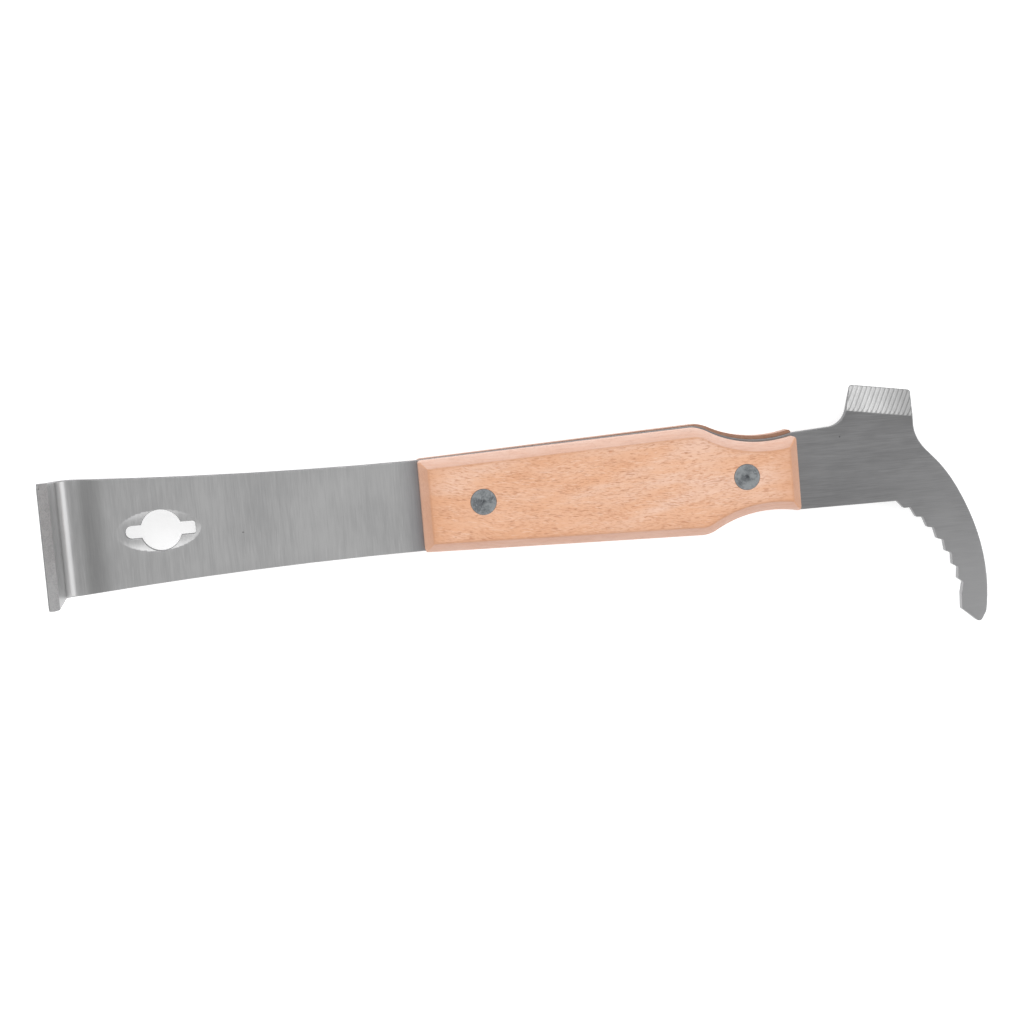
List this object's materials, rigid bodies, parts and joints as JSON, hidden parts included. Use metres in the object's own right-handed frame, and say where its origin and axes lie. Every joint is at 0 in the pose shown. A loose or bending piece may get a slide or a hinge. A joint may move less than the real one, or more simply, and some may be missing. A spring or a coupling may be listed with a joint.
{
  "type": "hive tool",
  "caption": "Steel hive tool with a bent scraper end, keyhole nail puller, ribbed hammer tab, serrated frame hook and riveted beech handle scales.",
  "frame": {"origin": "outer face of the back scale, midway between the two rivets, on the tool's centre line", "axes": "+X along the tool from scraper to frame hook, +Y towards the hammer tab, +Z out of the front scale, the way that the scraper end is bent"},
  "size_m": [0.2911, 0.0785, 0.0365],
  "materials": {
    "steel": "ground and brushed stainless steel",
    "beech": "sanded, unvarnished beech",
    "rivet_metal": "turned, slightly scratched"
  },
  "bodies": {
    "root": {"blade": "steel", "front_scale": "beech", "back_scale": "beech", "scraper_end_rivet_post": "rivet_metal", "scraper_end_rivet_sleeve": "rivet_metal", "hook_end_rivet_post": "rivet_metal", "hook_end_rivet_sleeve": "rivet_metal"}
  },
  "joints": []
}
